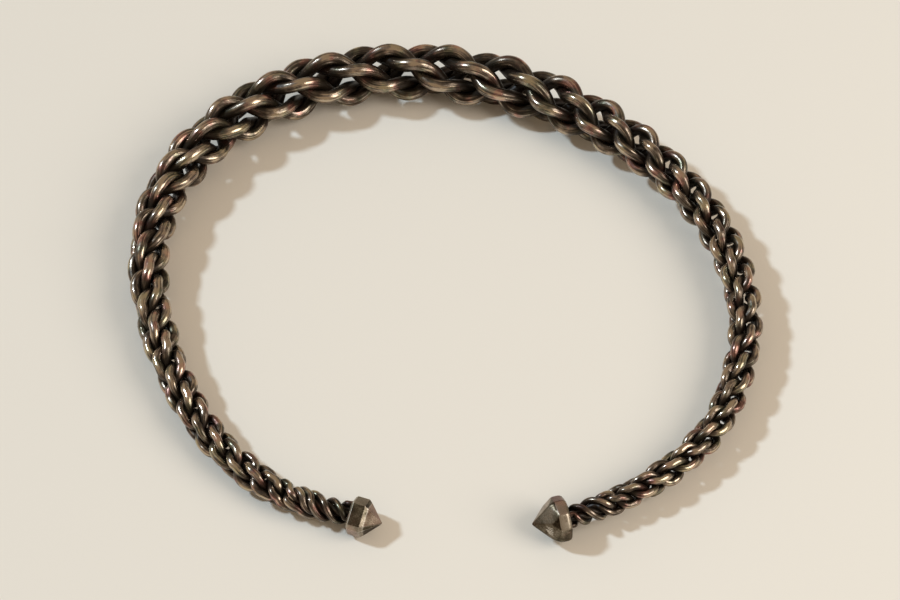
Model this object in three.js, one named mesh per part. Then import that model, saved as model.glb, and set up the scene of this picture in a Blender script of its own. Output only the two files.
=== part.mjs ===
// A silver torc, the stiff open neck ring of the ancient world, lying flat.
// Six plain rods, thickest at the back of the neck and tapering to both ends, are twisted in three
// pairs, and the three pairs are twisted together the other way into one loose rope. A faceted knob
// closes each end, and the mouth between the knobs faces -Y. Millimetres, +Z up, the origin on the
// surface that the torc lies on, below the middle of its outline.
import * as THREE from "three";

// The rope's centre line seen from above: a circle with a few low waves in its radius
const RING_RADIUS = 75.7;
const RING_WAVES = [
  { count: 2, depth: 4.3, peak: -36 },
  { count: 3, depth: 1.15, peak: -3 },
  { count: 4, depth: 0.75, peak: -32 },
  { count: 5, depth: 0.4, peak: 20 },
];
const RING_CENTRE = { x: -0.35, y: -3.9 };
const LEFT_END_ANGLE = -108.7;
const RING_SWEEP = 316.5;
const LEFT_END_IN = 2.2; // the left end turns in a little over the last share of the rope
const END_SHARE = 0.07;
// Gentle hand-made bends: where along the rope, how far they reach and how far out they go
const RING_BENDS = [
  { at: 0.05, reach: 0.07, out: -0.5 },
  { at: 0.54, reach: 0.2, out: 0.6 },
  { at: 0.86, reach: 0.04, out: -0.5 },
  { at: 0.95, reach: 0.08, out: -0.8 },
];

// The rope at stations along its length: rod diameter, rope lay (one full turn of a pair around the
// rope), pair lay (one full turn of two rods around each other) and rope width
const STATIONS = [
  { at: 0.0, rod: 1.5, lay: 11.5, pair: 7.5, width: 5.8 },
  { at: 0.012, rod: 1.75, lay: 11.5, pair: 7.5, width: 6.7 },
  { at: 0.03, rod: 1.98, lay: 12.5, pair: 7.5, width: 7.2 },
  { at: 0.05, rod: 2.05, lay: 19, pair: 7.5, width: 7.9 },
  { at: 0.09, rod: 2.1, lay: 21.5, pair: 8, width: 8.5 },
  { at: 0.2, rod: 2.6, lay: 25, pair: 10, width: 9.9 },
  { at: 0.3, rod: 2.95, lay: 29.5, pair: 11.5, width: 12.3 },
  { at: 0.37, rod: 3.25, lay: 38.5, pair: 13, width: 15.2 },
  { at: 0.43, rod: 3.5, lay: 51, pair: 14.5, width: 17.4 },
  { at: 0.56, rod: 3.5, lay: 53, pair: 14.5, width: 17.8 },
  { at: 0.62, rod: 3.1, lay: 42, pair: 12, width: 15.4 },
  { at: 0.69, rod: 2.65, lay: 33, pair: 9.5, width: 11.8 },
  { at: 0.81, rod: 2.25, lay: 26.5, pair: 8, width: 9.3 },
  { at: 0.91, rod: 1.95, lay: 21, pair: 7.5, width: 8.0 },
  { at: 0.96, rod: 1.82, lay: 18.5, pair: 7, width: 7.1 },
  { at: 0.978, rod: 1.62, lay: 12, pair: 6.8, width: 6.55 },
  { at: 1.0, rod: 1.4, lay: 10.5, pair: 6.8, width: 5.5 },
];
const ROPE_PHASE = 175.3; // degrees, of the first pair at the left knob
const STRANDS = 3;
const RODS_PER_STRAND = 2;
const PAIR_STAGGER = 120; // degrees between the twists of neighbouring pairs
const PLAIN_END = 5; // at each knob the pairs no longer twist: three rods lie inside, three outside
const PLAIN_FADE = 8; // the pairs take up their twist over this length
const PAIR_TURNS = 41.5; // of every pair, from knob to knob

// Heights of the rope's centre line above the surface, and the two knobs
const LEFT_HEIGHT = 4.3;
const RIGHT_HEIGHT = 5.25;
const BACK_HEIGHT = 8.43;
const KNOB_GAP = 0.95; // between a knob's back face and the rods' ends
// Each knob was filed by eye, so its flats differ. The corners of its eight-sided section are given in
// degrees from straight down, turning outward, and lie on a circle. It rests on its lowest flat. The
// profile gives shares of that circle's radius and distances from the back face.
const LEFT_KNOB = {
  radius: 4.85,
  corners: [30, 62, 99, 117, 185, 230, 280, 330],
  profile: [[0.68, 0], [0.92, 0.35], [1, 0.8], [1, 3.5], [0.85, 4.3], [0.08, 8.0]],
  tip: 8.2,
  toe: -10,
};
const RIGHT_KNOB = {
  radius: 5.85,
  corners: [27, 75, 117, 157, 196, 238, 285, 333],
  profile: [[0.66, 0], [0.92, 0.4], [1, 1.0], [1, 3.3], [0.88, 4.6], [0.08, 9.0]],
  tip: 9.25,
  toe: 4,
};

// How the rods are settled against each other: they start as a loose rope, in rod diameters, and are
// drawn together in rounds
const LOOSE_STRAND = 1.45; // a pair's distance from the rope's middle
const LOOSE_PAIR = 0.6; // a rod's distance from its pair's middle
const SETTLE_ROUNDS = 150;
const CLOSING_SHARE = 0.5;
const DRAWING_SHARE = 0.8;
const STRAIGHTEN = 0.02;
const SLEEVE_PULL = 0.4;
const SETTLE_REACH = 6;
const CLEARANCE = 1.0;

// Facets of the rods
const ROD_SIDES = 5;
const ROD_STEPS = 162;
const STEEP_SHARE = 2.5; // where the rope's own lay is short, the facets follow it instead of the pairs'
const FINE_PER_STEP = 3;
const CORNER_SHARE = 0.15; // the facets' corners stand out a little, so that the flats lie on the rod
const FACET_THICKNESS = 0.875;

const DEGREE = Math.PI / 180;
const TURN = 2 * Math.PI;
const mix = (a, b, f) => a + (b - a) * f;
const smooth = (f) => f * f * (3 - 2 * f);
const clamp01 = (f) => Math.min(1, Math.max(0, f));
const braided = (toEnd) => smooth(clamp01((toEnd - PLAIN_END) / PLAIN_FADE));

function ringPoint(along) {
  const angle = (LEFT_END_ANGLE - RING_SWEEP * along) * DEGREE;
  let radius = RING_RADIUS;
  for (const wave of RING_WAVES) {
    radius += wave.depth * Math.cos(wave.count * (angle - wave.peak * DEGREE));
  }
  radius -= LEFT_END_IN * Math.max(0, 1 - along / END_SHARE) ** 2;
  for (const bend of RING_BENDS) {
    const place = Math.min(1, Math.abs(along - bend.at) / bend.reach);
    radius += bend.out * Math.cos((Math.PI / 2) * place) ** 2;
  }
  const back = smooth(clamp01((1 + Math.sin(angle)) / 2));
  const front = mix(LEFT_HEIGHT, RIGHT_HEIGHT, along);
  return new THREE.Vector3(
    RING_CENTRE.x + radius * Math.cos(angle),
    RING_CENTRE.y + radius * Math.sin(angle),
    mix(front, BACK_HEIGHT, back),
  );
}

// Tangent towards the right knob, outward direction and up at a place on the centre line
function ringFrame(along) {
  const step = 1e-4;
  const ahead = ringPoint(along + step).sub(ringPoint(along - step)).normalize();
  const outward = new THREE.Vector3(-ahead.y, ahead.x, 0).normalize();
  return { ahead, outward, up: new THREE.Vector3().crossVectors(outward, ahead).negate() };
}

function station(along) {
  let k = 0;
  while (k < STATIONS.length - 2 && along > STATIONS[k + 1].at) {
    k += 1;
  }
  const [a, b] = [STATIONS[k], STATIONS[k + 1]];
  const f = clamp01((along - a.at) / (b.at - a.at));
  return {
    rod: mix(a.rod, b.rod, f),
    width: mix(a.width, b.width, f),
    ropeTurns: mix(1 / a.lay, 1 / b.lay, f),
    pairTurns: mix(1 / a.pair, 1 / b.pair, f),
  };
}

// Running totals along the centre line: its length and the turns of the rope and of the pairs
const FINE = 2000;
function measureRope() {
  const length = [0];
  for (let i = 1; i <= FINE; i += 1) {
    const piece = ringPoint(i / FINE).distanceTo(ringPoint((i - 1) / FINE));
    length.push(length[i - 1] + piece);
  }
  const rope = [0];
  const pair = [0];
  const spread = [0];
  for (let i = 1; i <= FINE; i += 1) {
    const here = station((i - 0.5) / FINE);
    const middle = (length[i] + length[i - 1]) / 2;
    const toEnd = Math.min(middle, length[FINE] - middle);
    const piece = length[i] - length[i - 1];
    rope.push(rope[i - 1] + piece * here.ropeTurns);
    pair.push(pair[i - 1] + piece * here.pairTurns * braided(toEnd));
    spread.push(spread[i - 1] + piece * Math.max(here.pairTurns, STEEP_SHARE * here.ropeTurns));
  }
  const whole = PAIR_TURNS / pair[FINE];
  return { length, rope, pair: pair.map((turns) => turns * whole), spread };
}
const MEASURE = measureRope();
const readAt = (list, along) => {
  const place = clamp01(along) * FINE;
  const i = Math.min(FINE - 1, Math.floor(place));
  return mix(list[i], list[i + 1], place - i);
};

// Places along the rope with equal shares of the twist between them
function ringPlaces() {
  const places = [];
  let i = 0;
  const steps = ROD_STEPS * FINE_PER_STEP;
  for (let step = 0; step <= steps; step += 1) {
    const wanted = (step / steps) * MEASURE.spread[FINE];
    while (i < FINE - 1 && MEASURE.spread[i + 1] < wanted) {
      i += 1;
    }
    const share = (wanted - MEASURE.spread[i]) / (MEASURE.spread[i + 1] - MEASURE.spread[i]);
    places.push((i + clamp01(share)) / FINE);
  }
  return places;
}

function ropePath(strand, rod, along) {
  const thick = station(along).rod;
  const length = readAt(MEASURE.length, along);
  const toEnd = Math.min(length, MEASURE.length[FINE] - length);
  const pairRadius = LOOSE_PAIR * thick;
  const strandRadius = LOOSE_STRAND * thick;
  const swing = TURN * (readAt(MEASURE.rope, along) + strand / STRANDS) + ROPE_PHASE * DEGREE;
  const twist =
    swing +
    (180 * rod + PAIR_STAGGER * strand * braided(toEnd)) * DEGREE -
    TURN * readAt(MEASURE.pair, along);
  const inward = strandRadius * Math.sin(swing) + pairRadius * Math.sin(twist);
  const raised = strandRadius * Math.cos(swing) + pairRadius * Math.cos(twist);
  const { outward, up } = ringFrame(along);
  return ringPoint(along).addScaledVector(outward, -inward).addScaledVector(up, raised).toArray();
}

// How far, and which way, a point of one rod must move to clear another rod near the same step
function pushAway(point, other, step, wanted) {
  const first = Math.max(0, step - SETTLE_REACH);
  const last = Math.min(other.length - 2, step + SETTLE_REACH);
  let least = Infinity;
  let away = [0, 0, 0];
  for (let j = first; j <= last; j += 1) {
    const [a, b] = [other[j], other[j + 1]];
    const [ux, uy, uz] = [b[0] - a[0], b[1] - a[1], b[2] - a[2]];
    const [vx, vy, vz] = [point[0] - a[0], point[1] - a[1], point[2] - a[2]];
    const f = clamp01((ux * vx + uy * vy + uz * vz) / (ux * ux + uy * uy + uz * uz));
    const [x, y, z] = [vx - f * ux, vy - f * uy, vz - f * uz];
    const distance = Math.hypot(x, y, z);
    if (distance < least) {
      least = distance;
      away = [x, y, z];
    }
  }
  const overlap = Math.max(0, wanted - least);
  return away.map((part) => (0.5 * overlap * part) / least);
}

// Each round pulls every rod a little straighter and draws the rope into a sleeve of its width, which
// closes over the first rounds, then pushes apart rods that press into each other
function settle(loose, places, thickness) {
  let paths = loose;
  const middles = places.map((along) => ringPoint(along).toArray());
  const starts = thickness.map((thick) => (LOOSE_STRAND + LOOSE_PAIR) * thick);
  const goals = places.map((along, i) => (station(along).width - thickness[i]) / 2);
  for (let round = 0; round < SETTLE_ROUNDS; round += 1) {
    const closed = clamp01(round / (CLOSING_SHARE * SETTLE_ROUNDS));
    const drawing = round < DRAWING_SHARE * SETTLE_ROUNDS;
    paths = paths.map((path, own) =>
      path.map((point, i) => {
        const moved = [...point];
        if (drawing) {
          const before = path[Math.max(0, i - 1)];
          const after = path[Math.min(path.length - 1, i + 1)];
          const offset = point.map((part, k) => part - middles[i][k]);
          const outside = Math.hypot(...offset) - mix(starts[i], goals[i], closed);
          const squeeze = (SLEEVE_PULL * Math.max(0, outside)) / Math.hypot(...offset);
          const inner = i > 0 && i < path.length - 1;
          for (let k = 0; k < 3; k += 1) {
            const straighter = inner ? (before[k] + after[k]) / 2 - point[k] : 0;
            moved[k] += STRAIGHTEN * straighter - squeeze * offset[k];
          }
        }
        paths.forEach((other, k) => {
          if (k !== own) {
            const push = pushAway(point, other, i, CLEARANCE * thickness[i]);
            push.forEach((part, axis) => {
              moved[axis] += part;
            });
          }
        });
        return moved;
      }),
    );
  }
  return paths;
}

// A place on a settled rod; both ends are brought to one flat plane behind the knobs
function rodPoint(path, i) {
  const point = new THREE.Vector3(...path[i]);
  if (i === 0 || i === path.length - 1) {
    const along = i / (path.length - 1);
    const { ahead } = ringFrame(along);
    point.addScaledVector(ahead, ringPoint(along).sub(point).dot(ahead));
  }
  return point;
}

// Every third place of a settled rod, with its corners moved out where the rod curves
function facetPath(path, thickness) {
  const points = [];
  const widths = [];
  for (let i = 0; i < path.length; i += FINE_PER_STEP) {
    const point = rodPoint(path, i);
    if (i > 0 && i < path.length - 1) {
      const before = rodPoint(path, i - FINE_PER_STEP);
      const after = rodPoint(path, i + FINE_PER_STEP);
      const between = before.add(after).multiplyScalar(0.5);
      point.lerp(between, -CORNER_SHARE);
    }
    points.push(point);
    widths.push(FACET_THICKNESS * thickness[i]);
  }
  return { points, widths };
}

// A closed tube of flat facets through a list of points, with flat ends
function rodGeometry(path, thickness) {
  const corners = [];
  const index = [];
  let side = new THREE.Vector3(0, 0, 1);
  path.forEach((p, i) => {
    const before = path[Math.max(0, i - 1)];
    const after = path[Math.min(path.length - 1, i + 1)];
    const along = after.clone().sub(before).normalize();
    side = side.clone().addScaledVector(along, -side.dot(along)).normalize();
    const across = new THREE.Vector3().crossVectors(along, side);
    for (let k = 0; k < ROD_SIDES; k += 1) {
      const turn = (TURN * k) / ROD_SIDES;
      const corner = p.clone();
      corner.addScaledVector(side, (thickness[i] / 2) * Math.cos(turn));
      corner.addScaledVector(across, (thickness[i] / 2) * Math.sin(turn));
      corners.push(corner.x, corner.y, corner.z);
    }
  });
  for (let i = 0; i < path.length - 1; i += 1) {
    for (let k = 0; k < ROD_SIDES; k += 1) {
      const a = i * ROD_SIDES + k;
      const b = i * ROD_SIDES + ((k + 1) % ROD_SIDES);
      index.push(a, b, b + ROD_SIDES, a, b + ROD_SIDES, a + ROD_SIDES);
    }
  }
  const last = (path.length - 1) * ROD_SIDES;
  for (let k = 1; k < ROD_SIDES - 1; k += 1) {
    index.push(0, k + 1, k, last, last + k, last + k + 1);
  }
  const geometry = new THREE.BufferGeometry();
  geometry.setAttribute("position", new THREE.Float32BufferAttribute(corners, 3));
  geometry.setIndex(index);
  geometry.computeVertexNormals();
  return geometry;
}

// A knob is an eight-sided collar with bevelled rims and a low point. Its axis is local +Y, and its
// corners are counted from local -Z towards local +X.
function knobGeometry({ radius, profile, tip }, corners) {
  const points = [[0, profile[0][1], 0]];
  for (const [share, height] of profile) {
    for (const corner of corners) {
      const reach = share * radius;
      points.push([
        reach * Math.sin(corner * DEGREE),
        height,
        -reach * Math.cos(corner * DEGREE),
      ]);
    }
  }
  points.push([0, tip, 0]);
  const sides = corners.length;
  const last = points.length - 1;
  const index = [];
  for (let k = 0; k < sides; k += 1) {
    const next = (k + 1) % sides;
    index.push(0, 1 + k, 1 + next);
    index.push(last, last - sides + next, last - sides + k);
    for (let ring = 0; ring < profile.length - 1; ring += 1) {
      const [a, b] = [1 + ring * sides + k, 1 + ring * sides + next];
      index.push(a, b + sides, b, a, a + sides, b + sides);
    }
  }
  const geometry = new THREE.BufferGeometry();
  geometry.setAttribute("position", new THREE.Float32BufferAttribute(points.flat(), 3));
  geometry.setIndex(index);
  geometry.computeVertexNormals();
  return geometry;
}

const rodSilver = (tone) =>
  new THREE.MeshStandardMaterial({ color: tone, metalness: 0.9, roughness: 0.38 });
const ROD_TONES = [0x6a6256, 0x5f574b, 0x716859, 0x575046, 0x655c4f, 0x5c5549];
const KNOB_TONE = 0x857a6a;

const torc = new THREE.Group();
const places = ringPlaces();
const thickness = places.map((along) => station(along).rod);
const names = [];
let paths = [];
for (let strand = 0; strand < STRANDS; strand += 1) {
  for (let rod = 0; rod < RODS_PER_STRAND; rod += 1) {
    names.push(`strand_${strand + 1}_rod_${"ab"[rod]}`);
    paths.push(places.map((along) => ropePath(strand, rod, along)));
  }
}
paths = settle(paths, places, thickness);
paths.forEach((path, k) => {
  const { points, widths } = facetPath(path, thickness);
  const mesh = new THREE.Mesh(rodGeometry(points, widths), rodSilver(ROD_TONES[k]));
  mesh.name = names[k];
  torc.add(mesh);
});

function addKnob(name, size, along, towards) {
  const { ahead } = ringFrame(along);
  const heading = Math.atan2(towards * ahead.y, towards * ahead.x) - towards * size.toe * DEGREE;
  const axis = new THREE.Vector3(Math.cos(heading), Math.sin(heading), 0);
  const up = new THREE.Vector3(0, 0, 1);
  const sideways = new THREE.Vector3().crossVectors(axis, up);
  const mirrored = size.corners.map((corner) => 360 - corner).reverse();
  const knob = new THREE.Mesh(
    knobGeometry(size, towards > 0 ? mirrored : size.corners),
    new THREE.MeshStandardMaterial({ color: KNOB_TONE, metalness: 0.9, roughness: 0.3 }),
  );
  knob.name = name;
  knob.quaternion.setFromRotationMatrix(new THREE.Matrix4().makeBasis(sideways, axis, up));
  const end = ringPoint(along);
  const rest = size.radius * Math.cos(size.corners[0] * DEGREE);
  knob.position.set(end.x, end.y, rest).addScaledVector(axis, KNOB_GAP);
  torc.add(knob);
}
addKnob("left_knob", LEFT_KNOB, 0, -1);
addKnob("right_knob", RIGHT_KNOB, 1, 1);

export default torc;
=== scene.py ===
# %% [markdown]
# # A twisted silver torc
# A torc is a stiff neck ring that stays open at the front. This one is made of six plain silver
# rods. They are twisted in three pairs, and the three pairs are twisted together the other way
# round, so the rope looks plaited. Every rod is thickest behind the neck and tapers to both ends,
# where a faceted knob closes the rope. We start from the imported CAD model, which fixes every size
# and place, and dress it: smooth round rods in place of faceted ones, knobs with worn edges, and
# the dark skin that old silver grows.

# %% Load the fixed frame
import math

import bmesh
import bpy
import numpy as np
from mathutils import Matrix, Vector


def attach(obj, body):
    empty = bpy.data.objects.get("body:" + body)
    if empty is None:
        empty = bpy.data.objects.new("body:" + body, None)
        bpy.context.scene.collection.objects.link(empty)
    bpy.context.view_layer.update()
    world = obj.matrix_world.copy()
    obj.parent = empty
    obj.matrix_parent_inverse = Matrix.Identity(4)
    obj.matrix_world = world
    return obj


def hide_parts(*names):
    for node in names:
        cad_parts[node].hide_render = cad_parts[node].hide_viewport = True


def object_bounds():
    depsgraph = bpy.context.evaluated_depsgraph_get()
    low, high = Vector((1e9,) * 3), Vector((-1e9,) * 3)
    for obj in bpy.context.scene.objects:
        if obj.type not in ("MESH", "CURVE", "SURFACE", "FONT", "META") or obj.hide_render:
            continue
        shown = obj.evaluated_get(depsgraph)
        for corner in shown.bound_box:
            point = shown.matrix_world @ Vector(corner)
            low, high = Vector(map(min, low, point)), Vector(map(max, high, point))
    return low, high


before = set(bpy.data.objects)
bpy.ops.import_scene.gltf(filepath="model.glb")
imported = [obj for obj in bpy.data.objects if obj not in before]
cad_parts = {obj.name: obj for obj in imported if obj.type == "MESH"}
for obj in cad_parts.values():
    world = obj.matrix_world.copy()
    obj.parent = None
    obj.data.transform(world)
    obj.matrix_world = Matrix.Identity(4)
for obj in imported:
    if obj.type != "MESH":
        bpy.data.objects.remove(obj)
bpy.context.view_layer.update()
scene = bpy.context.scene
MM = 0.001
print("nodes:", sorted(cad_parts))

# %% [markdown]
# ## Two small helpers
# Colours are easiest to judge as the sRGB hex values of a paint chart, but the shader works with
# linear light, so one function converts them. The second helper adds a node, sets what it is told
# and makes its links, which keeps every node tree below readable as a list of steps.


# %% Colour and node helpers
def linear(hex_colour):
    values = [int(hex_colour[i:i + 2], 16) / 255 for i in (1, 3, 5)]
    steps = [v / 12.92 if v <= 0.04045 else ((v + 0.055) / 1.055) ** 2.4 for v in values]
    return (*steps, 1.0)


def add(tree, kind, inputs=None, **settings):
    node = tree.nodes.new(kind)
    for name, value in settings.items():
        setattr(node, name, value)
    for name, value in (inputs or {}).items():
        socket = node.inputs[name]
        if isinstance(value, bpy.types.NodeSocket):
            tree.links.new(value, socket)
        else:
            socket.default_value = value
    return node


# %% [markdown]
# ## The line of the ring
# Seen from above the ring is nearly a circle, but it was bent by hand, so its radius wanders by a
# few millimetres. A circle with four low waves and four slight bends follows it with few numbers
# instead of a long list of points. A place on the ring is given as a share of the way round, from 0
# at the left end to 1 at the right end. The CAD model is built from the same sizes. They are in
# millimetres and degrees.

# %% Ring sizes
RING_RADIUS = 75.7
# Waves around the ring, height of the wave, place of its peak.
RING_WAVES = [(2, 4.3, -36), (3, 1.15, -3), (4, 0.75, -32), (5, 0.4, 20)]
RING_CENTRE = (-0.35, -3.9)
LEFT_END_ANGLE = -108.7
RING_SWEEP = 316.5
LEFT_END_IN = 2.2
END_SHARE = 0.07
# Place of the bend, how far it reaches both ways, how far out it goes.
RING_BENDS = [(0.05, 0.07, -0.5), (0.54, 0.2, 0.6), (0.86, 0.04, -0.5), (0.95, 0.08, -0.8)]
LEFT_HEIGHT = 4.3
RIGHT_HEIGHT = 5.25
BACK_HEIGHT = 8.43
TINY_STEP = 1e-4


def mix(a, b, f):
    return a + (b - a) * f


def ease(f):
    f = np.clip(f, 0, 1)
    return f * f * (3 - 2 * f)


def ring_point(along):
    along = np.asarray(along, float)
    angle = np.radians(LEFT_END_ANGLE - RING_SWEEP * along)
    radius = np.full(along.shape, RING_RADIUS)
    for count, depth, peak in RING_WAVES:
        radius += depth * np.cos(count * (angle - math.radians(peak)))
    radius -= LEFT_END_IN * np.clip(1 - along / END_SHARE, 0, None) ** 2
    for at, reach, out in RING_BENDS:
        place = np.clip(np.abs(along - at) / reach, 0, 1)
        radius += out * np.cos(np.pi / 2 * place) ** 2
    back = ease((1 + np.sin(angle)) / 2)
    height = mix(mix(LEFT_HEIGHT, RIGHT_HEIGHT, along), BACK_HEIGHT, back)
    x = RING_CENTRE[0] + radius * np.cos(angle)
    y = RING_CENTRE[1] + radius * np.sin(angle)
    return np.stack([x, y, height], -1)


def unit(vectors):
    return vectors / np.linalg.norm(vectors, axis=-1, keepdims=True)


def ring_frame(along):
    along = np.asarray(along)
    ahead = unit(ring_point(along + TINY_STEP) - ring_point(along - TINY_STEP))
    outward = unit(np.stack([-ahead[..., 1], ahead[..., 0], 0 * ahead[..., 2]], -1))
    return ahead, outward, -np.cross(outward, ahead)


# %% [markdown]
# ## How tightly the rope is twisted
# A rope maker speaks of lay: the length in which a strand goes once round the rope. The torc's lay
# is long at the thick back and short near the knobs. The table gives it at seventeen places, together
# with the rod's diameter, the lay of the two rods in a pair, and the width of the rope. Everything
# between two places is read off a straight line. About a centimetre before a knob the pairs stop
# turning, and from there the six rods run in one plain twist.

# %% Rope sizes along the ring
STATIONS = [
    # share of the way round, rod, rope lay, pair lay, rope width
    (0.0, 1.5, 11.5, 7.5, 5.8),
    (0.012, 1.75, 11.5, 7.5, 6.7),
    (0.03, 1.98, 12.5, 7.5, 7.2),
    (0.05, 2.05, 19, 7.5, 7.9),
    (0.09, 2.1, 21.5, 8, 8.5),
    (0.2, 2.6, 25, 10, 9.9),
    (0.3, 2.95, 29.5, 11.5, 12.3),
    (0.37, 3.25, 38.5, 13, 15.2),
    (0.43, 3.5, 51, 14.5, 17.4),
    (0.56, 3.5, 53, 14.5, 17.8),
    (0.62, 3.1, 42, 12, 15.4),
    (0.69, 2.65, 33, 9.5, 11.8),
    (0.81, 2.25, 26.5, 8, 9.3),
    (0.91, 1.95, 21, 7.5, 8.0),
    (0.96, 1.82, 18.5, 7, 7.1),
    (0.978, 1.62, 12, 6.8, 6.55),
    (1.0, 1.4, 10.5, 6.8, 5.5),
]
ROPE_PHASE = 175.3
STRANDS = 3
RODS_PER_STRAND = 2
PAIR_STAGGER = 120
PLAIN_END = 5
PLAIN_FADE = 8
PAIR_TURNS = 41.5
FINE = 2000
STEPS = 486
STEEP_SHARE = 2.5

AT, ROD, LAY, PAIR, WIDTH = np.array(STATIONS, float).T


def braided(to_end):
    return ease((to_end - PLAIN_END) / PLAIN_FADE)


def along_the_rope():
    """Length of the centre line and turns of the rope and its pairs, as running totals."""
    share = np.arange(FINE + 1) / FINE
    piece = np.linalg.norm(np.diff(ring_point(share), axis=0), axis=1)
    length = np.concatenate([[0], np.cumsum(piece)])
    middle = (length[1:] + length[:-1]) / 2
    half_way = share[1:] - 0.5 / FINE
    to_end = np.minimum(middle, length[-1] - middle)
    rope_turns = piece * np.interp(half_way, AT, 1 / LAY)
    pair_turns = piece * np.interp(half_way, AT, 1 / PAIR)
    rope = np.concatenate([[0], np.cumsum(rope_turns)])
    pair = np.concatenate([[0], np.cumsum(pair_turns * braided(to_end))])
    spread = np.concatenate([[0], np.cumsum(np.maximum(pair_turns, STEEP_SHARE * rope_turns))])
    pair *= PAIR_TURNS / pair[-1]
    places = np.interp(np.linspace(0, spread[-1], STEPS + 1), spread, share)
    return share, length, rope, pair, places


SHARE, LENGTH, ROPE, PAIRS, PLACES = along_the_rope()
THICK = np.interp(PLACES, AT, ROD)
print("rope: %.0f mm long, %.1f turns, pairs %.1f turns" % (LENGTH[-1], ROPE[-1], PAIRS[-1]))

# %% [markdown]
# ## Twisting, then settling
# A formula twists the six rods loosely: each pair circles the middle of the rope, and each rod
# circles the middle of its pair the other way. Real rods were then drawn tight until they pressed
# on each other. We let the computer do the same. In each round rods that overlap push each other
# apart. In the first 120 of the 150 rounds every rod is also pulled a little straighter, and the
# rope is squeezed into a sleeve of its width. At the end the rods lie against each other and hardly
# cut in. Nothing here is random, so every run gives the same rope.

# %% Loose rods, settled against each other
LOOSE_STRAND = 1.45
LOOSE_PAIR = 0.6
SETTLE_ROUNDS = 150
CLOSING_SHARE = 0.5
DRAWING_SHARE = 0.8
STRAIGHTEN = 0.02
SLEEVE_PULL = 0.4
SETTLE_REACH = 6


def loose_rod(strand, rod):
    length = np.interp(PLACES, SHARE, LENGTH)
    twisting = braided(np.minimum(length, LENGTH[-1] - length))
    swing = 2 * np.pi * (np.interp(PLACES, SHARE, ROPE) + strand / STRANDS)
    swing += math.radians(ROPE_PHASE)
    turned = np.radians(180 * rod + PAIR_STAGGER * strand * twisting)
    twist = swing + turned - 2 * np.pi * np.interp(PLACES, SHARE, PAIRS)
    inward = THICK * (LOOSE_STRAND * np.sin(swing) + LOOSE_PAIR * np.sin(twist))
    raised = THICK * (LOOSE_STRAND * np.cos(swing) + LOOSE_PAIR * np.cos(twist))
    _, outward, up = ring_frame(PLACES)
    return ring_point(PLACES) - outward * inward[:, None] + up * raised[:, None]


def pushes(paths):
    """For every point of every rod, the move that clears half of its overlap with the others."""
    legs = np.diff(paths, axis=1)
    leg_squares = (legs ** 2).sum(-1)
    steps = np.arange(STEPS + 1)
    least = np.full((len(paths), len(paths), STEPS + 1), np.inf)
    away = np.zeros((*least.shape, 3))
    for reach in range(-SETTLE_REACH, SETTLE_REACH + 1):
        near = np.clip(steps + reach, 0, STEPS - 1)
        gap = paths[:, None] - paths[None, :, near]
        share = np.clip((gap * legs[:, near]).sum(-1) / leg_squares[:, near], 0, 1)
        gap = gap - share[..., None] * legs[:, near]
        distance = np.linalg.norm(gap, axis=-1)
        closer = distance < least
        least = np.where(closer, distance, least)
        away = np.where(closer[..., None], gap, away)
    own = np.eye(len(paths), dtype=bool)
    least[own] = 1
    overlap = np.maximum(0, THICK - least)
    overlap[own] = 0
    return (away * (0.5 * overlap / least)[..., None]).sum(axis=1)


def settle(paths):
    middles = ring_point(PLACES)
    starts = (LOOSE_STRAND + LOOSE_PAIR) * THICK
    goals = (np.interp(PLACES, AT, WIDTH) - THICK) / 2
    for turn in range(SETTLE_ROUNDS):
        moved = paths + pushes(paths)
        if turn < DRAWING_SHARE * SETTLE_ROUNDS:
            closed = min(1, turn / (CLOSING_SHARE * SETTLE_ROUNDS))
            offset = paths - middles
            away = np.linalg.norm(offset, axis=-1)
            outside = np.maximum(0, away - mix(starts, goals, closed))
            moved -= offset * (SLEEVE_PULL * outside / away)[..., None]
            between = (paths[:, 2:] + paths[:, :-2]) / 2
            moved[:, 1:-1] += STRAIGHTEN * (between - paths[:, 1:-1])
        paths = moved
    return paths


names = []
loose = []
for strand in range(STRANDS):
    for rod in range(RODS_PER_STRAND):
        names.append("strand_%d_rod_%s" % (strand + 1, "ab"[rod]))
        loose.append(loose_rod(strand, rod))
settled = settle(np.array(loose))
print("settled", settled.shape)

# %% [markdown]
# ## A round rod from a line
# Each settled path is only a line of points. A Geometry Nodes tree turns it into a rod: the line
# becomes a smooth curve, its radius is read from the points, and a circle is swept along it. The
# tree also writes down two things that the silver needs later: where a point would lie if the rod
# were still straight, so that drawing marks can run along it, and how far out of the rope it lies,
# because hands and cloth rub the outermost crowns bright. Last, it presses light hammer dents into
# the surface. The sides and the dents are named inputs of the tree.


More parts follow.
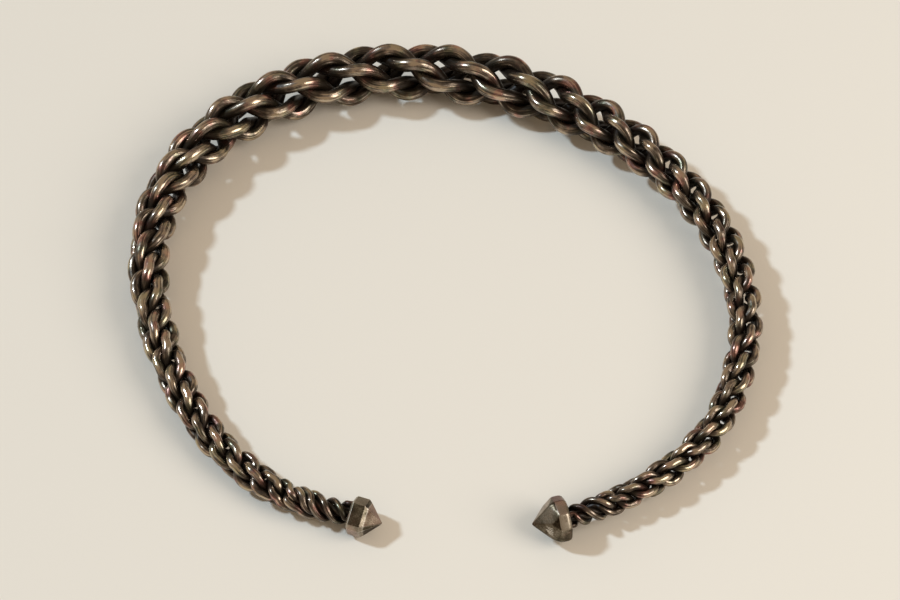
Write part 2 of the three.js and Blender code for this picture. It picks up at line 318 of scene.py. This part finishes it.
# %% The rod tree
def rod_tree():
    tree = bpy.data.node_groups.new("Round silver rod", "GeometryNodeTree")
    for name, kind, value in (
        ("Line", "NodeSocketGeometry", None),
        ("Sides", "NodeSocketInt", 24),
        ("Smoothness", "NodeSocketInt", 3),
        ("Dent depth", "NodeSocketFloat", 0.3 * MM),
        ("Dent size", "NodeSocketFloat", 1.9 * MM),
        ("Dent stretch", "NodeSocketFloat", 2.6),
        ("Silver", "NodeSocketMaterial", None),
    ):
        socket = tree.interface.new_socket(name, in_out="INPUT", socket_type=kind)
        if value is not None:
            socket.default_value = value
    tree.interface.new_socket("Rod", in_out="OUTPUT", socket_type="NodeSocketGeometry")
    given = add(tree, "NodeGroupInput").outputs

    line = add(tree, "GeometryNodeMeshToCurve", {"Mesh": given["Line"]})
    smooth = add(tree, "GeometryNodeCurveSplineType", {"Curve": line.outputs[0]},
                 spline_type="CATMULL_ROM")
    finer = add(tree, "GeometryNodeSetSplineResolution",
                {"Geometry": smooth.outputs[0], "Resolution": given["Smoothness"]})
    spline = add(tree, "GeometryNodeSplineParameter")
    measured = add(tree, "GeometryNodeStoreNamedAttribute",
                   {"Geometry": finer.outputs[0], "Name": "down_length",
                    "Value": spline.outputs["Length"]}, data_type="FLOAT", domain="POINT")

    circle = add(tree, "GeometryNodeCurvePrimitiveCircle",
                 {"Resolution": given["Sides"], "Radius": 1.0})
    place = add(tree, "GeometryNodeInputPosition")
    marked = add(tree, "GeometryNodeStoreNamedAttribute",
                 {"Geometry": circle.outputs[0], "Name": "around", "Value": place.outputs[0]},
                 data_type="FLOAT_VECTOR", domain="POINT")
    thick = add(tree, "GeometryNodeInputNamedAttribute", {"Name": "thick"}, data_type="FLOAT")
    tube = add(tree, "GeometryNodeCurveToMesh",
               {"Curve": measured.outputs[0], "Profile Curve": marked.outputs[0],
                "Scale": thick.outputs[0], "Fill Caps": True})

    around = add(tree, "GeometryNodeInputNamedAttribute", {"Name": "around"},
                 data_type="FLOAT_VECTOR")
    down = add(tree, "GeometryNodeInputNamedAttribute", {"Name": "down_length"},
               data_type="FLOAT")
    across = add(tree, "ShaderNodeVectorMath", {0: around.outputs[0], "Scale": thick.outputs[0]},
                 operation="SCALE")
    parts = add(tree, "ShaderNodeSeparateXYZ", {0: across.outputs[0]})
    straight = add(tree, "ShaderNodeCombineXYZ",
                   {0: parts.outputs[0], 1: parts.outputs[1], 2: down.outputs[0]})
    drawn = add(tree, "GeometryNodeStoreNamedAttribute",
                {"Geometry": tube.outputs[0], "Name": "drawn", "Value": straight.outputs[0]},
                data_type="FLOAT_VECTOR", domain="POINT")

    middle = add(tree, "GeometryNodeInputNamedAttribute", {"Name": "middle"},
                 data_type="FLOAT_VECTOR")
    half = add(tree, "GeometryNodeInputNamedAttribute", {"Name": "half_width"},
               data_type="FLOAT")
    outward = add(tree, "ShaderNodeVectorMath", {0: place.outputs[0], 1: middle.outputs[0]},
                  operation="DISTANCE")
    share = add(tree, "ShaderNodeMath", {0: outward.outputs["Value"], 1: half.outputs[0]},
                operation="DIVIDE")
    worn = add(tree, "GeometryNodeStoreNamedAttribute",
               {"Geometry": drawn.outputs[0], "Name": "worn", "Value": share.outputs[0]},
               data_type="FLOAT", domain="POINT")

    fine = add(tree, "ShaderNodeMath", {0: 1.0, 1: given["Dent size"]}, operation="DIVIDE")
    squeezed = add(tree, "ShaderNodeMath", {0: down.outputs[0], 1: given["Dent stretch"]},
                   operation="DIVIDE")
    dent_place = add(tree, "ShaderNodeCombineXYZ",
                     {0: parts.outputs[0], 1: parts.outputs[1], 2: squeezed.outputs[0]})
    hammer = add(tree, "ShaderNodeTexNoise",
                 {"Vector": dent_place.outputs[0], "Scale": fine.outputs[0], "Detail": 0.5},
                 noise_dimensions="3D")
    centred = add(tree, "ShaderNodeMath", {0: hammer.outputs[0], 1: 0.5}, operation="SUBTRACT")
    deep = add(tree, "ShaderNodeMath", {0: centred.outputs[0], 1: given["Dent depth"]},
               operation="MULTIPLY")
    normal = add(tree, "GeometryNodeInputNormal")
    move = add(tree, "ShaderNodeVectorMath", {0: normal.outputs[0], "Scale": deep.outputs[0]},
               operation="SCALE")
    dented = add(tree, "GeometryNodeSetPosition",
                 {"Geometry": worn.outputs[0], "Offset": move.outputs[0]})
    shaded = add(tree, "GeometryNodeSetShadeSmooth", {"Geometry": dented.outputs[0]})
    silver = add(tree, "GeometryNodeSetMaterial",
                 {"Geometry": shaded.outputs[0], "Material": given["Silver"]})
    add(tree, "NodeGroupOutput", {"Rod": silver.outputs[0]})
    return tree


ROD_TREE = rod_tree()
print("rod tree:", len(ROD_TREE.nodes), "nodes")

# %% [markdown]
# ## Old silver
# Silver left in the air or the ground grows a thin dark skin of silver sulphide. It is brown-black
# in the hollows, where nothing touches it, and thin or gone on the crowns, where the metal shows
# through in warm grey. Where the skin is very thin it has faint pink, green and straw tints, like
# oil on water. The finish below mixes these by how far out of the rope a point lies. Silver is a
# metal, so on the crowns metallic is near 1 and the colour is that of its reflections. The crust in
# the hollows is dull and earthy, so metallic falls there. Real drawing marks are too fine to show in
# a picture of the whole ring, so they are drawn 0.4 mm wide and 16 times as long. The pits are half
# a millimetre across, and the clouds of tarnish 3 to 5 mm.

# %% Old silver on the rods
TARNISH_BLACK = "#2B1F13"
TARNISH_BROWN = "#40362B"
WARM_SILVER = "#897F74"
RUBBED_SILVER = "#D4CBC0"
TINTS = (
    (0.34, "#A8706E"), (0.44, "#847A74"), (0.55, "#827B72"), (0.64, "#6C7864"), (0.78, "#8C8268"),
)
STREAK_MM = 0.4
STREAK_STRETCH = (1, 1, 16)
STREAK_DEPTH_MM = 0.08
STREAK_SHARE = 1.2
PATCH_MM = 3.6
PATCH_SHARE = 1.0
TINT_MM = 4.5
TINT_SHARE = 0.7
PIT_MM = 0.5
PIT_DEPTH_MM = 0.05
NOISE_ROUGHNESS = 0.55


def start_material(name, metallic):
    material = bpy.data.materials.new(name)
    material.use_nodes = True
    tree = material.node_tree
    tree.nodes.clear()
    shader = add(tree, "ShaderNodeBsdfPrincipled", {"Metallic": metallic})
    add(tree, "ShaderNodeOutputMaterial", {"Surface": shader.outputs[0]})
    return material, tree, shader


def noise(tree, vector, size_mm, detail, stretch=(1, 1, 1)):
    """Noise whose grains are size_mm across, stretched along an axis of its vector."""
    scale = [1 / (size_mm * MM * s) for s in stretch]
    mapped = add(tree, "ShaderNodeMapping", {"Vector": vector, "Scale": scale})
    made = add(tree, "ShaderNodeTexNoise", {"Vector": mapped.outputs[0], "Scale": 1.0,
                                            "Detail": detail, "Roughness": NOISE_ROUGHNESS})
    return made.outputs["Fac"]


def sum_of(tree, first, second, share):
    """first plus share times second, where second is centred on a half."""
    centred = add(tree, "ShaderNodeMath", {0: second, 1: 0.5}, operation="SUBTRACT")
    made = add(tree, "ShaderNodeMath", {0: centred.outputs[0], 1: share, 2: first},
               operation="MULTIPLY_ADD")
    return made.outputs[0]


def ramp(tree, factor, stops):
    node = add(tree, "ShaderNodeValToRGB", {"Fac": factor})
    elements = node.color_ramp.elements
    while len(elements) < len(stops):
        elements.new(0.5)
    for element, (position, colour) in zip(elements, stops):
        element.position = position
        element.color = linear(colour)
    return node.outputs["Color"]


def old_silver():
    material, tree, shader = start_material("Old silver, drawn and hammered rods", metallic=1.0)
    place = add(tree, "ShaderNodeTexCoord").outputs["Object"]
    drawn = add(tree, "ShaderNodeAttribute", attribute_name="drawn").outputs["Vector"]
    worn = add(tree, "ShaderNodeAttribute", attribute_name="worn").outputs["Fac"]
    streaks = noise(tree, drawn, STREAK_MM, detail=4.0, stretch=STREAK_STRETCH)
    patches = noise(tree, place, PATCH_MM, detail=4.0)
    patchy = sum_of(tree, worn, patches, PATCH_SHARE)
    bared = sum_of(tree, patchy, streaks, STREAK_SHARE)
    skin = ramp(tree, bared, ((0.34, TARNISH_BLACK), (0.62, TARNISH_BROWN),
                              (0.82, WARM_SILVER), (1.0, RUBBED_SILVER)))
    tint = ramp(tree, noise(tree, place, TINT_MM, detail=2.0), TINTS)
    tinted = add(tree, "ShaderNodeMix", {"Factor": TINT_SHARE, "A": skin, "B": tint},
                 data_type="RGBA", blend_type="OVERLAY")
    tree.links.new(tinted.outputs[2], shader.inputs["Base Color"])
    gloss = add(tree, "ShaderNodeMapRange", {"Value": sum_of(tree, bared, streaks, 0.5),
                                             "From Min": 0.45, "From Max": 1.05,
                                             "To Min": 0.42, "To Max": 0.17})
    tree.links.new(gloss.outputs[0], shader.inputs["Roughness"])
    crust = add(tree, "ShaderNodeMapRange", {"Value": bared, "From Min": 0.4, "From Max": 0.75,
                                             "To Min": 0.35, "To Max": 0.97})
    tree.links.new(crust.outputs[0], shader.inputs["Metallic"])
    pits = noise(tree, place, PIT_MM, detail=3.0)
    marks = add(tree, "ShaderNodeBump", {"Strength": 0.6, "Distance": STREAK_DEPTH_MM * MM,
                                         "Height": streaks})
    pitted = add(tree, "ShaderNodeBump", {"Strength": 0.4, "Distance": PIT_DEPTH_MM * MM,
                                          "Height": pits, "Normal": marks.outputs[0]})
    tree.links.new(pitted.outputs[0], shader.inputs["Normal"])
    return material


OLD_SILVER = old_silver()

# %% [markdown]
# ## The six rods
# Each line of points gets its radius, the middle of the rope beside it and the rope's half width
# as attributes. Nothing rubs the rods just behind a knob, so the half width is given too large
# there, which makes the finish take them for hollows. The rods run a little further than their CAD
# solids, into the backs of the knobs, where the real ones are fastened. The finished mesh replaces
# the faceted node of the same name.

# %% Make the rods
INTO_KNOB = 1.6
SMOOTHING_ROUNDS = 2
SMOOTHING_SHARE = 0.25
UNRUBBED_LENGTH = 8
UNRUBBED_SHARE = 0.45


def rod_line(name, path):
    for _ in range(SMOOTHING_ROUNDS):
        path[1:-1] += SMOOTHING_SHARE * ((path[2:] + path[:-2]) / 2 - path[1:-1])
    ends = ring_point([0.0, 1.0])
    ahead = ring_frame([0.0, 1.0])[0]
    for k, end in ((0, 0), (-1, 1)):
        path[k] += ahead[end] * ((ends[end] - path[k]) @ ahead[end])
    path = np.concatenate([[path[0] - INTO_KNOB * ahead[0]], path,
                           [path[-1] + INTO_KNOB * ahead[1]]])
    middles = ring_point(PLACES)
    middles = np.concatenate([middles[:1], middles, middles[-1:]])
    thick = np.concatenate([THICK[:1], THICK, THICK[-1:]])
    length = np.interp(PLACES, SHARE, LENGTH)
    behind_knob = np.exp(-np.minimum(length, LENGTH[-1] - length) / UNRUBBED_LENGTH)
    half_width = np.interp(PLACES, AT, WIDTH) / 2 * (1 + UNRUBBED_SHARE * behind_knob)
    half_width = np.concatenate([half_width[:1], half_width, half_width[-1:]])
    mesh = bpy.data.meshes.new(name)
    mesh.from_pydata((path * MM).tolist(), [(i, i + 1) for i in range(len(path) - 1)], [])
    for label, values in (("thick", thick / 2 * MM), ("half_width", half_width * MM)):
        mesh.attributes.new(label, "FLOAT", "POINT").data.foreach_set("value", values)
    middle = mesh.attributes.new("middle", "FLOAT_VECTOR", "POINT")
    middle.data.foreach_set("vector", (middles * MM).ravel())
    line = bpy.data.objects.new(name, mesh)
    scene.collection.objects.link(line)
    return line


def baked_copy(source, name):
    """A plain mesh object with the result of the source's modifiers; the source is removed."""
    graph = bpy.context.evaluated_depsgraph_get()
    mesh = bpy.data.meshes.new_from_object(source.evaluated_get(graph))
    mesh.name = name
    bpy.data.objects.remove(source)
    made = bpy.data.objects.new(name, mesh)
    scene.collection.objects.link(made)
    return made


for name, path in zip(names, settled):
    line = rod_line("line_of_" + name, path.copy())
    modifier = line.modifiers.new("Round rod", "NODES")
    modifier.node_group = ROD_TREE
    sockets = {s.name: s.identifier for s in ROD_TREE.interface.items_tree if s.in_out == "INPUT"}
    modifier[sockets["Silver"]] = OLD_SILVER
    rod = baked_copy(line, "silver_" + name)
    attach(rod, "root")
    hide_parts(name)
print("each rod:", len(rod.data.polygons), "faces")

# %% [markdown]
# ## A knob cut from flat planes
# The knobs look cast and then filed into flats: eight around the collar, narrow bevels behind and
# in front of it, and a blunt point of flats. A solid like this is everything that lies inside a set
# of planes. For each direction from its middle we take the distance to the nearest plane. Taking a
# soft minimum instead of a hard one rounds every edge a little, as wear does. The softer the
# minimum, the rounder the edges: the left knob is still crisp, the right one is worn.
#
# The places of the corners are given in degrees from straight down, turning outward. The profile
# gives shares of the radius and distances along the axis, from the knob's back to its point. Each
# flat gets a painted lightness, one row for each step of the profile: painted highlights and
# painted reflections on flats that face the light, painted shade on flats that face away.
# Rosy flats have a pink tint.

# %% Knob shapes
KNOB_GAP = 0.95
LEFT_KNOB = {
    "radius": 4.85,
    "corners": (30, 62, 99, 117, 185, 230, 280, 330),
    "profile": ((0.68, 0), (0.92, 0.35), (1, 0.8), (1, 3.8), (0.86, 4.6), (0.08, 8.0)),
    "point_corners": (30, 62, 99, 117, 185, 230, 280, 330),
    "toe": -10,
    "lift": 0.0,
    "sharpness": 130,
    "bared": 0.9,
    # Painted light and shade, one value per flat: lighter where a flat catches the light, darker
    # where it faces away.
    "painted_light_rows": (
        (-0.25, -0.25, -0.25, -0.25, -0.25, -0.25, -0.25, -0.25),
        (0.1, 0.25, 0.3, 0.4, 0.3, 0.0, 0.0, 0.0),
        (0.12, 0.16, 0.2, -0.12, 0.3, 0.0, 0.0, -0.2),
        (0.1, 0.15, 0.2, 0.15, -0.12, 0.0, 0.0, 0.0),
        (-0.25, -0.2, -0.08, -0.02, 0.15, 0.0, 0.0, 0.0),
    ),
    "rosy": {(2, 0): 0.2, (2, 1): 0.15, (4, 3): 0.2, (4, 4): 0.6},
}
RIGHT_KNOB = {
    "radius": 5.85,
    "corners": (27, 75, 117, 157, 196, 238, 285, 333),
    "profile": ((0.66, 0), (0.92, 0.4), (1, 1.0), (1, 3.3), (0.88, 4.6), (0.08, 9.0)),
    "point_corners": (27, 70, 135, 198, 260, 318),
    "toe": 4,
    "lift": 0.5,
    "sharpness": 48,
    "bared": 0.25,
    # Painted light and shade, one value per flat: lighter where a flat catches the light, darker
    # where it faces away.
    "painted_light_rows": (
        (-0.2, -0.2, -0.2, -0.2, -0.2, -0.2, -0.2, -0.2),
        (0.0, 0.0, 0.3, 0.2, 0.0, 0.0, 0.0, 0.0),
        (0.0, 0.05, 0.45, 0.3, -0.15, 0.0, 0.0, 0.0),
        (0.0, 0.0, -0.2, -0.25, -0.1, 0.0, 0.0, 0.0),
        (-0.1, -0.08, -0.05, 0.25, 0.0, 0.0),
    ),
    "rosy": {(2, 3): 0.3, (2, 4): 0.5},
}
HEART = 2.4
# Painted shade on each knob's back face, where the rods go in.
PAINTED_BACK_SHADE = -0.3
BALL_SUBDIVISIONS = 7


def knob_planes(size):
    """Normals, with x outward, y up and z along the axis, distances from the heart, and looks: the
    painted light and shade and the pink tint of each flat.
    """
    normals = [(0, 0, -1)]
    distances = [HEART]
    looks = [(PAINTED_BACK_SHADE, 0)]
    profile = size["profile"]
    for band, ((low, at), (high, to)) in enumerate(zip(profile, profile[1:])):
        last = to == profile[-1][1]
        corners = size["point_corners"] if last else size["corners"]
        for k, (corner, following) in enumerate(zip(corners, corners[1:] + (corners[0] + 360,))):
            looks.append((size["painted_light_rows"][band][k], size["rosy"].get((band, k), 0)))
            side = math.radians((corner + following) / 2)
            flat = size["radius"] * math.cos(math.radians(following - corner) / 2)
            slope = math.atan2(flat * (low - high), to - at)
            normals.append((math.cos(slope) * math.sin(side), -math.cos(slope) * math.cos(side),
                            math.sin(slope)))
            distances.append(math.cos(slope) * flat * low + math.sin(slope) * (at - HEART))
    return np.array(normals), np.array(distances), np.array(looks)


def knob_mesh(name, size, strokes=()):
    normals, distances, looks = knob_planes(size)
    shape = bmesh.new()
    bmesh.ops.create_icosphere(shape, subdivisions=BALL_SUBDIVISIONS, radius=1.0)
    mesh = bpy.data.meshes.new(name)
    shape.to_mesh(mesh)
    shape.free()
    ways = unit(np.array([v.co for v in mesh.vertices], float))
    facing = np.clip(ways @ normals.T, 0, None) / distances
    sharpness = size["sharpness"]
    strength = (facing ** sharpness).sum(1) ** (1 / sharpness)
    edge = size["bared"] * sharpness * (strength / facing.max(1) - 1)
    # Each vertex takes the painted light and shade and the pink tint of its flat.
    painted_facet_light, rosy = looks[facing.argmax(1)].T
    points = ways / strength[:, None]
    points[:, 2] += HEART
    tip, rim = size["profile"][-1][1], size["profile"][-3][1]
    points[:, 1] += size["lift"] * np.clip((points[:, 2] - rim) / (tip - rim), 0, None)
    scratched, points = scratch(points, strokes)
    labels = {"scratched": scratched, "edge": edge, "painted_facet_light": painted_facet_light, "rosy": rosy}
    for label, values in labels.items():
        mesh.attributes.new(label, "FLOAT", "POINT").data.foreach_set("value", values)
    return mesh, points


# %% [markdown]
# ## Scratched strokes
# A flat on the outer side of the right knob's point carries a few fine scratched strokes. They are
# cut into the mesh as shallow grooves: each vertex near a stroke sinks by a bell curve of its
# distance from it. The same number is kept as an attribute, so that the finish can bare bright metal
# in the grooves. The strokes lean a little and start at uneven heights, as a hand would leave them.

# %% Cut grooves into a knob
GROOVE_DEPTH = 0.05
GROOVE_WIDTH = 0.11
STROKES = 5
STROKE_SIDE = 108
STROKE_SPACING = 8.5
STROKE_LEAN = 4
STROKE_START = 0.1
STROKE_END = 0.3
UNEVEN_START = 0.03
UNEVEN_END = 0.05
# About half the angle that the flat spans around the axis.
HALF_FLAT = 31


def scratch(points, strokes):
    scratched = np.zeros(len(points))
    for start, end in strokes:
        start, end = np.array(start, float), np.array(end, float)
        leg = end - start
        share = np.clip(((points - start) @ leg) / (leg @ leg), 0, 1)
        distance = np.linalg.norm(points - start - share[:, None] * leg, axis=1)
        scratched = np.maximum(scratched, np.exp(-(distance / GROOVE_WIDTH) ** 2))
    inward = points * (1, 1, 0)
    inward = inward / np.maximum(1e-6, np.linalg.norm(inward, axis=1, keepdims=True))
    return scratched, points - inward * (GROOVE_DEPTH * scratched)[:, None]


def groove_row(size):
    """A row of short parallel strokes on a flat of the point, around STROKE_SIDE in degrees."""
    (low, at), (high, to) = size["profile"][-2:]
    strokes = []
    for k in range(STROKES):
        start = STROKE_START + UNEVEN_START * (k % 2)
        end = STROKE_END + UNEVEN_END * (k % 3)
        ends = []
        for share, lean in ((start, -STROKE_LEAN), (end, STROKE_LEAN)):
            turn = math.radians(STROKE_SIDE + STROKE_SPACING * (k - (STROKES - 1) / 2) + lean)
            flat = size["radius"] * mix(low, high, share) * math.cos(math.radians(HALF_FLAT))
            flat /= math.cos(turn - math.radians(STROKE_SIDE))
            ends.append((flat * math.sin(turn), -flat * math.cos(turn), mix(at, to, share)))
        strokes.append(ends)
    return strokes


# %% [markdown]
# ## Filed silver
# The knobs are smoother than the rods and have been handled more, so their skin is thinner and
# greyer. Flat filed faces show soft dark clouds about 3 mm across and a fine grain of file marks
# and specks, and the edges between the flats are rubbed bright.

# %% Filed silver on the knobs
CLOUD_BLACK = "#2B2218"
CLOUD_DARK = "#5A5040"
CLOUD_MIDDLE = "#8F8575"
FILED_SILVER = "#B3A999"
BARE_SILVER = "#E4DCCF"
ROSE = "#B4847C"
CLOUD_MM = 3.2
GRAIN_MM = 0.45
GRAIN_SHARE = 0.3
GRAIN_DEPTH_MM = 0.04
EDGE_GRAIN_SHARE = 0.9
SPECK_MM = 0.28
SPECK_SHARE = 0.35
KNOB_TINT_MM = 5.0
KNOB_TINT_SHARE = 0.35


def filed_silver():
    material, tree, shader = start_material("Old silver, filed and handled knobs", metallic=0.96)
    place = add(tree, "ShaderNodeTexCoord").outputs["Object"]
    painted_facet_light = add(tree, "ShaderNodeAttribute", attribute_name="painted_facet_light").outputs["Fac"]
    rosy = add(tree, "ShaderNodeAttribute", attribute_name="rosy").outputs["Fac"]
    clouds = noise(tree, place, CLOUD_MM, detail=5.0)
    fine = noise(tree, place, GRAIN_MM, detail=3.0)
    specks = noise(tree, place, SPECK_MM, detail=1.0)
    edge = add(tree, "ShaderNodeAttribute", attribute_name="edge").outputs["Fac"]
    edges = add(tree, "ShaderNodeMapRange", {"Value": sum_of(tree, edge, fine, EDGE_GRAIN_SHARE),
                                             "From Min": 0.25, "From Max": 1.1,
                                             "To Min": 0.0, "To Max": 0.8})
    uneven = sum_of(tree, sum_of(tree, clouds, fine, GRAIN_SHARE), specks, SPECK_SHARE)
    # The painted light and shade of each flat is added here to the clouds, grain and specks.
    lightness = add(tree, "ShaderNodeMath", {0: uneven, 1: painted_facet_light}, operation="ADD").outputs[0]
    skin = ramp(tree, lightness, ((0.15, CLOUD_BLACK), (0.4, CLOUD_DARK), (0.6, CLOUD_MIDDLE),
                                  (0.9, FILED_SILVER)))
    tint = ramp(tree, noise(tree, place, KNOB_TINT_MM, detail=2.0), TINTS)
    tinted = add(tree, "ShaderNodeMix", {"Factor": KNOB_TINT_SHARE, "A": skin, "B": tint},
                 data_type="RGBA", blend_type="OVERLAY")
    rose = add(tree, "ShaderNodeMath", {0: rosy, 1: fine}, operation="MULTIPLY")
    blushed = add(tree, "ShaderNodeMix", {"Factor": rose.outputs[0], "A": tinted.outputs[2],
                                          "B": linear(ROSE)}, data_type="RGBA")
    groove = add(tree, "ShaderNodeAttribute", attribute_name="scratched").outputs["Fac"]
    bright = add(tree, "ShaderNodeMath", {0: edges.outputs[0], 1: groove}, operation="MAXIMUM")
    bared = add(tree, "ShaderNodeMix", {"Factor": bright.outputs[0], "A": blushed.outputs[2],
                                        "B": linear(BARE_SILVER)}, data_type="RGBA")
    tree.links.new(bared.outputs[2], shader.inputs["Base Color"])
    gloss = add(tree, "ShaderNodeMapRange", {"Value": sum_of(tree, clouds, fine, 0.5),
                                             "From Min": 0.3, "From Max": 0.7,
                                             "To Min": 0.42, "To Max": 0.24})
    tree.links.new(gloss.outputs[0], shader.inputs["Roughness"])
    bump = add(tree, "ShaderNodeBump", {"Strength": 0.4, "Distance": GRAIN_DEPTH_MM * MM,
                                        "Height": fine})
    tree.links.new(bump.outputs[0], shader.inputs["Normal"])
    return material


FILED_SILVER_FINISH = filed_silver()

# %% [markdown]
# ## The two knobs
# Each knob's axis follows the end of the rope, turned by its toe to where it really points. The
# left end is where the way round starts, so there the axis looks backwards, and the faces of that
# mirrored knob are flipped to point outwards again. Each knob rests on its lowest flat.


# %% Make the knobs
def add_knob(node, size, end, towards, strokes=()):
    mesh, points = knob_mesh("silver_" + node, size, strokes)
    ahead = ring_frame([end])[0][0]
    heading = math.atan2(towards * ahead[1], towards * ahead[0])
    heading -= towards * math.radians(size["toe"])
    axis = Vector((math.cos(heading), math.sin(heading), 0))
    up = Vector((0, 0, 1))
    outward = towards * up.cross(axis)
    foot = Vector(ring_point([end])[0])
    foot.z = size["radius"] * math.cos(math.radians(size["corners"][0]))
    foot += KNOB_GAP * axis
    turned = Matrix((outward, up, axis))
    placed = points @ np.array(turned) + np.array(foot)
    mesh.vertices.foreach_set("co", (placed * MM).astype(np.float32).ravel())
    if towards < 0:
        mesh.flip_normals()
    mesh.update()
    mesh.materials.append(FILED_SILVER_FINISH)
    mesh.shade_smooth()
    knob = bpy.data.objects.new("silver_" + node, mesh)
    scene.collection.objects.link(knob)
    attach(knob, "root")
    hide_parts(node)
    return knob


add_knob("left_knob", LEFT_KNOB, 0.0, -1)
right_knob = add_knob("right_knob", RIGHT_KNOB, 1.0, 1, strokes=groove_row(RIGHT_KNOB))
print("each knob:", len(right_knob.data.polygons), "faces")

# %% [markdown]
# ## Table, light and camera
# The torc lies on a smooth pale board. A far light on the left and a little behind throws the
# shadows to the right. A broad light near by on the right and a weak even light fill them.

# %% Pale board
BOARD_COLOUR = "#E6DFD3"
BOARD_HALF = 1.5
board_mesh = bpy.data.meshes.new("pale_board")
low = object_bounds()[0].z
corners = [(x * BOARD_HALF, y * BOARD_HALF, low) for x, y in ((-1, -1), (1, -1), (1, 1), (-1, 1))]
board_mesh.from_pydata(corners, [], [(0, 1, 2, 3)])
board = bpy.data.objects.new("pale_board", board_mesh)
scene.collection.objects.link(board)
board_paint, _, board_shader = start_material("Matt warm white board", metallic=0.0)
board_shader.inputs["Roughness"].default_value = 0.7
board_shader.inputs["Base Color"].default_value = linear(BOARD_COLOUR)
board_mesh.materials.append(board_paint)


# %% Light
WORLD_COLOUR = "#FFE9CE"
WORLD_STRENGTH = 0.41


def soft_light(name, place, size, power, colour):
    light = bpy.data.lights.new(name, "AREA")
    light.shape = "DISK"
    light.size = size
    light.energy = power
    light.color = linear(colour)[:3]
    made = bpy.data.objects.new(name, light)
    made.location = place
    made.rotation_euler = (-Vector(place)).to_track_quat("-Z", "Y").to_euler()
    scene.collection.objects.link(made)


soft_light("key_from_the_left", (-4.12, 1.06, 4.24), size=0.6, power=235, colour="#D5ECFF")
soft_light("fill_from_the_right", (0.9, -0.35, 0.75), size=0.9, power=7.6, colour="#FFFAF3")
world = bpy.data.worlds.new("Even studio light")
scene.world = world
world.use_nodes = True
background = world.node_tree.nodes["Background"]
background.inputs["Color"].default_value = linear(WORLD_COLOUR)
background.inputs["Strength"].default_value = WORLD_STRENGTH
scene.view_settings.view_transform = "Standard"

# %% [markdown]
# ## The camera
# The camera looks down at the open side of the ring from a height of 52 degrees. Its long lens
# sees only 20 degrees, so the far side of the ring looks only about a seventh smaller than the near
# one. The picture is 900 pixels wide, and a pixel in its middle is 0.26 mm of the torc, which gives
# the camera's distance.

# %% Camera
ELEVATION = math.radians(52)
VIEW_WIDTH = math.radians(20)
HALF_PICTURE = 450
PIXEL = 0.2615 * MM
SENSOR_MM = 36
AIM = Vector((1.94, -2.27, 0)) * MM
distance = HALF_PICTURE / math.tan(VIEW_WIDTH / 2) * PIXEL
camera = bpy.data.objects.new("camera", bpy.data.cameras.new("camera"))
camera.data.sensor_width = SENSOR_MM
camera.data.lens = SENSOR_MM / 2 / math.tan(VIEW_WIDTH / 2)
camera.location = AIM + distance * Vector((0, -math.cos(ELEVATION), math.sin(ELEVATION)))
camera.rotation_euler = (math.pi / 2 - ELEVATION, 0, 0)
scene.collection.objects.link(camera)
scene.camera = camera
